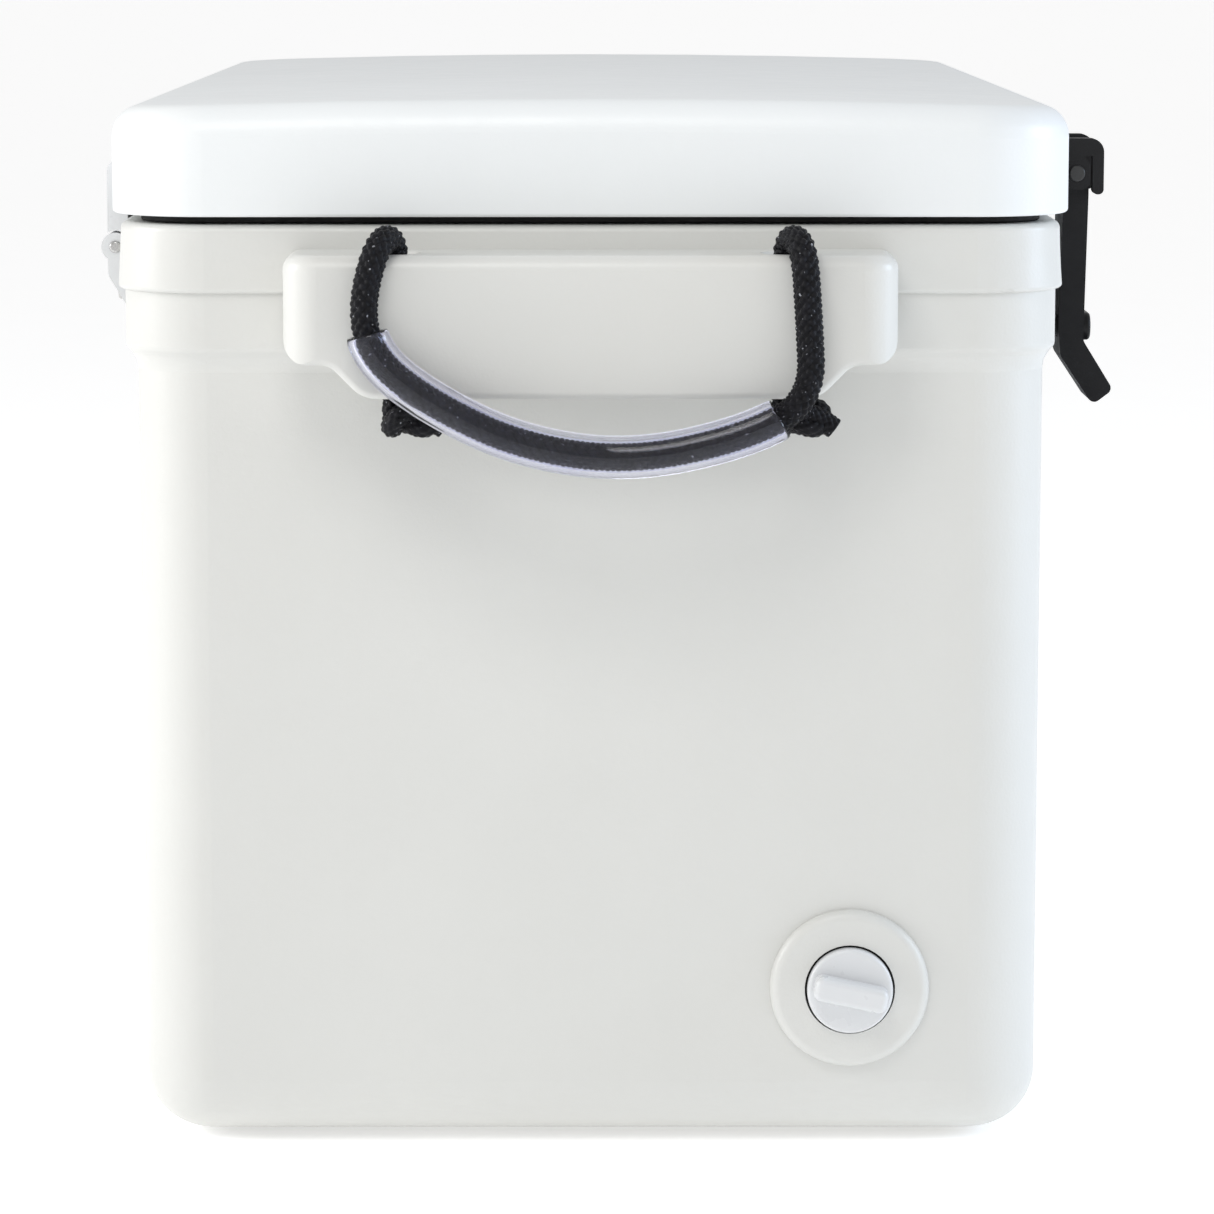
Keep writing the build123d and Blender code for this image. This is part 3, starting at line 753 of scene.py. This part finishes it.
@dataclass
class StopperKnot:
    """A small overhand knot with a short tail.

    Attributes:
        braid: The surface of its tightly pulled rope.
        size: The scale of its turns.
        span: The first and last angle of its turns.
        steps: How many control points the turns have.
        depth: How deep the turns are, as a share of the size.
        tail: The tail's control points from the end of the turns, for the right-hand end of the chest.
        aside: How far its middle is beside the rope's end, along Y.
        lift: How far its middle is above the rope's end.
        step: The distance between the points of its line.
    """

    braid: Braid = field(default_factory=lambda: Braid(radius=0.0043, lay=0.026, relief=0.0010, around=56))
    size: float = 0.0034
    span: tuple[float, float] = (0.35, 2.0 * math.pi - 0.25)
    steps: int = 16
    depth: float = 1.15
    tail: tuple[Point, ...] = ((0.001, 0.004, -0.002), (0.002, 0.008, -0.004), (0.002, 0.012, -0.007))
    aside: float = 0.005
    lift: float = 0.0025
    step: float = 0.0005

    def tie(self, name: str, at: Vector, end: End, material: bpy.types.Material) -> bpy.types.Object:
        """Tie the knot under a block.

        Args:
            name: The piece's name.
            at: The rope's end.
            end: Which end of the chest it is on.
            material: Its material.

        Returns:
            The knot, with its short tail.
        """
        turns = np.linspace(*self.span, self.steps)
        loops = self.size * np.stack([
            np.sin(turns) + 2.0 * np.sin(2.0 * turns),
            np.cos(turns) - 2.0 * np.cos(2.0 * turns),
            -self.depth * np.sin(3.0 * turns),
        ], axis=1)
        tail = loops[-1] + np.array(self.tail) * [1.0, end.value, 1.0]
        middle = np.array(at) + np.array([0.0, self.aside * end.value, self.lift])
        route = [Vector(place) for place in np.vstack([loops, tail]) + middle]
        return self.braid.cover(name, Line.along(route, self.step), material)


@dataclass
class RopeHandle:
    """A rope that runs through a moulded block, between two knots, with a clear grip tube on it.

    Attributes:
        end: Which end of the chest it is on.
        palette: The chest's materials.
        route: The rope's control points, as (out, y, z).
        braid: The rope's surface.
        grip_outer: The grip tube's outer radius.
        grip_inner: The grip tube's inner radius.
        grip_runs: The runs of the route that the grip tube starts and ends half way along.
        step: The distance between the points of the rope's line.
        tube_step: The distance between the points of the grip tube's line.
        tube_around: How many points each ring of the grip tube has.
        edge_round: How much the grip tube's cut edges are eased.
        edge_rings: Over how many rings they are eased.
        bend: How far out from the end face the rope stops following the tub, and starts following the grip.
            Not used.
        bend_height: The height of the two points that mark this. Not used.
        knot: The knot at each end of the rope.
    """

    end: End
    palette: Palette
    route: list[Point] = field(default_factory=lambda: [
        (0.0190, 0.0780, 0.3055),
        (0.0193, 0.0780, 0.3560),
        (0.0195, 0.0780, 0.3805),
        (0.0435, 0.0840, 0.3800),
        (0.0490, 0.0905, 0.3540),
        (0.0495, 0.0855, 0.3340),
        (0.0495, 0.0620, 0.3160),
        (0.0495, 0.0270, 0.2995),
        (0.0495, -0.0160, 0.2935),
        (0.0495, -0.0620, 0.3035),
        (0.0495, -0.0875, 0.3180),
        (0.0490, -0.0860, 0.3500),
        (0.0435, -0.0840, 0.3800),
        (0.0195, -0.0780, 0.3805),
        (0.0193, -0.0780, 0.3560),
        (0.0190, -0.0780, 0.3055),
    ])
    braid: Braid = field(default_factory=Braid)
    grip_outer: float = 0.0087
    grip_inner: float = 0.0062
    grip_runs: tuple[int, int] = (4, 9)
    step: float = 0.0006
    tube_step: float = 0.0012
    tube_around: int = 56
    edge_round: float = 0.0006
    edge_rings: float = 1.5
    bend: tuple[float, float] = (0.0255, 0.0485)
    bend_height: float = 0.36
    knot: StopperKnot = field(default_factory=StopperKnot)

    def build(self) -> None:
        word, sign = self.end.word, self.end.value
        places = [from_tub_centre(out, y, z, self.end) for out, y, z in self.route]
        line = Line.along(places, self.step)
        rope = self.braid.cover(f"braided_rope_{word}", line, self.palette.braid)
        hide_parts(f"rope_{word}")
        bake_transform(rope)
        for which, place in enumerate((places[0], places[-1])):
            knot = self.knot.tie(f"rope_knot_{word}_{which}", place, self.end, self.palette.braid)
            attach(knot, "tub")
        self.grip(line, places)
        log.info("rope handle %s: rope %.3f m", word, line.travelled[-1])

    def grip(self, line: Line, places: list[Vector]) -> None:
        """Make the clear tube that the rope runs through, with eased edges at its cut ends.

        Args:
            line: The rope's centreline.
            places: The rope's control points.
        """
        first, last = self.grip_runs
        start = (places[first] + places[first + 1]) / 2
        finish = (places[last] + places[last + 1]) / 2
        centreline = Line(spaced(line.part(start, finish).points, self.tube_step))
        rings = len(centreline.points)
        around = self.tube_around
        from_cut = np.minimum(np.arange(rings), np.arange(rings)[::-1])
        inset = self.edge_round * np.clip(1.0 - from_cut / self.edge_rings, 0.0, 1.0)
        outer = centreline.wrap(np.repeat((self.grip_outer - inset)[:, None], around, axis=1))
        inner = centreline.wrap(np.repeat((self.grip_inner + inset)[:, None], around, axis=1))
        shift = rings * around
        high = (rings - 1) * around
        faces = ring_faces(rings, around) + ring_faces(rings, around, shift, flip=True)
        for turn in range(around):
            after = (turn + 1) % around
            faces.append((after, turn, shift + turn, shift + after))
            faces.append((high + turn, high + after, shift + high + after, shift + high + turn))
        tube = new_mesh(f"clear_grip_{self.end.word}", np.vstack([outer, inner]), faces,
                        self.palette.vinyl, flat_faces=2 * around)
        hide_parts(f"grip_tube_{self.end.word}")
        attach(tube, f"handle_{self.end.word}")


# ---------------------------------------------------------------- the chest


@dataclass
class Tub:
    """The moulded tub with its foam, feet and fill plug."""

    palette: Palette

    def dress(self) -> None:
        """Give the tub's nodes their finishes."""
        paint(["tub_shell", "tub_fill_plug"], self.palette.tub)
        paint(["tub_foam"], self.palette.foam)
        for end in End:
            paint([f"foot_front_{end.word}", f"foot_rear_{end.word}"], self.palette.foot)
        paint(["foot_screws"], self.palette.steel)
        log.info("tub dressed")


@dataclass
class Lid:
    """The moulded lid with its foam, fill plug and gasket."""

    palette: Palette

    def dress(self) -> None:
        """Give the lid's nodes their finishes."""
        paint(["lid_shell", "lid_fill_plug"], self.palette.lid)
        paint(["lid_foam"], self.palette.foam)
        paint(["lid_gasket"], self.palette.seal)
        log.info("lid dressed")


@dataclass
class Drain:
    """The screw-in drain with its bushing, seal and plug."""

    palette: Palette

    def dress(self) -> None:
        """Give the drain's nodes their finishes."""
        paint(["drain_bushing", "drain_plug"], self.palette.fitting)
        paint(["drain_seal"], self.palette.seal)
        log.info("drain dressed")


@dataclass
class Hinges:
    """The two knuckled hinges at the back."""

    palette: Palette

    def dress(self) -> None:
        """Give the hinges' nodes their finishes."""
        for end in End:
            paint([f"lid_hinge_leaf_{end.word}", f"tub_hinge_leaf_{end.word}"], self.palette.fitting)
            paint([f"hinge_pin_{end.word}"], self.palette.steel)
        paint(["lid_hinge_screws", "tub_hinge_screws"], self.palette.steel)
        log.info("hinges dressed")


@dataclass
class Latches:
    """The two rubber strap latches at the front."""

    palette: Palette

    def dress(self) -> None:
        """Give the latches' nodes their finishes."""
        for end in End:
            paint([f"latch_hanger_{end.word}", f"latch_keeper_{end.word}"], self.palette.latch)
            paint([f"latch_strap_{end.word}"], self.palette.strap)
            paint([f"latch_pin_{end.word}"], self.palette.black_steel)
        paint(["latch_hanger_screws", "latch_keeper_screws"], self.palette.black_steel)
        log.info("latches dressed")


# ---------------------------------------------------------------- the studio


@dataclass
class Viewpoint:
    """The camera: a long lens, a little above the lid, looking at the drain end.

    Attributes:
        place: Where it stands.
        pitch: How far it looks down, in degrees.
        yaw: How far it looks towards the latch side, in degrees.
        lens: Its focal length in millimetres.
        sensor: The width of its sensor in millimetres.
        sight: How far it sees.
    """

    place: Point = (-2.240, TUB_CENTRE_Y, 0.504)
    pitch: float = 8.25
    yaw: float = 0.2
    lens: float = 139.8
    sensor: float = 36.0
    sight: float = 200.0

    def build(self) -> None:
        """Make the camera and use it."""
        data = bpy.data.cameras.new("camera")
        data.lens = self.lens
        data.sensor_width = self.sensor
        data.clip_end = self.sight
        camera = bpy.data.objects.new("camera", data)
        camera.location = self.place
        down, turn = math.radians(self.pitch), math.radians(self.yaw)
        aim = Vector((math.cos(down) * math.cos(turn), -math.cos(down) * math.sin(turn), -math.sin(down)))
        camera.rotation_euler = aim.to_track_quat("-Z", "Y").to_euler()
        bpy.context.scene.collection.objects.link(camera)
        bpy.context.scene.camera = camera
        log.info("camera placed")


@dataclass(frozen=True)
class Panel:
    """A square soft light that faces the chest.

    Attributes:
        name: The light's name.
        place: Where it hangs.
        size: The length of its sides.
        power: Its power in watts.
        colour: Its colour.
    """

    name: str
    place: Point
    size: float
    power: float
    colour: Colour

    def hang(self, aim: Point) -> None:
        """Make the light.

        Args:
            aim: The point that it faces.
        """
        data = bpy.data.lights.new(self.name, "AREA")
        data.color = self.colour
        data.size = self.size
        data.energy = self.power
        light = bpy.data.objects.new(self.name, data)
        light.location = self.place
        light.rotation_euler = (Vector(aim) - Vector(self.place)).to_track_quat("-Z", "Y").to_euler()
        bpy.context.scene.collection.objects.link(light)


@dataclass
class Studio:
    """A plain pale floor under soft light, brighter from the hinge side.

    Attributes:
        sky: The strength of the white world.
        glow: The strength of the floor's own light, which keeps it pale far away.
        floor_reach: How far the floor goes each way.
        aim: The point that the panels face.
        panels: The soft lights.
    """

    sky: float = 0.66
    glow: float = 0.34
    floor_reach: float = 60.0
    aim: Point = (0.0, 0.0, 0.2)
    panels: tuple[Panel, ...] = (
        Panel("hinge_side", (-0.45, 2.2, 0.95), 1.0, 27.0, (1.0, 1.0, 1.0)),
        Panel("latch_side", (-0.35, -2.2, 0.85), 0.9, 22.0, (0.66, 0.80, 1.0)),
        Panel("over_the_end", (-0.95, 0.15, 0.95), 0.35, 1.9, (1.0, 0.99, 0.97)),
    )

    def build(self) -> None:
        """Make the floor, the world and the lights."""
        bpy.context.scene.view_settings.view_transform = "Standard"
        self.floor()
        world = bpy.data.worlds.new("studio")
        world.use_nodes = True
        background = world.node_tree.nodes["Background"]
        background.inputs["Color"].default_value = (1.0, 1.0, 1.0, 1.0)
        background.inputs["Strength"].default_value = self.sky
        bpy.context.scene.world = world
        for panel in self.panels:
            panel.hang(self.aim)
        log.info("studio lit")

    def floor(self) -> None:
        """Lay the floor."""
        square = [(-1.0, -1.0, 0.0), (1.0, -1.0, 0.0), (1.0, 1.0, 0.0), (-1.0, 1.0, 0.0)]
        finish = MouldedFinish(
            colour=(0.93, 0.93, 0.93), tint=(0.92, 0.92, 0.92), roughness=(0.7, 0.8),
            grain_depth=0.00002, wave_depth=0.00005, specular=0.2,
        )
        paper = finish.material("floor")
        shader = paper.node_tree.nodes["Principled BSDF"]
        shader.inputs["Emission Color"].default_value = (1.0, 1.0, 1.0, 1.0)
        shader.inputs["Emission Strength"].default_value = self.glow
        floor = new_mesh("floor", self.floor_reach * np.array(square), [(0, 1, 2, 3)], paper)


def main() -> None:
    """Build the whole scene."""
    logging.basicConfig(level=logging.INFO, format="%(message)s")
    palette = Palette()
    Viewpoint().build()
    for end in End:
        RopeHandle(end, palette).build()
    Tub(palette).dress()
    Lid(palette).dress()
    Drain(palette).dress()
    Hinges(palette).dress()
    Latches(palette).dress()
    Studio().build()


if __name__ == "__main__":
    main()
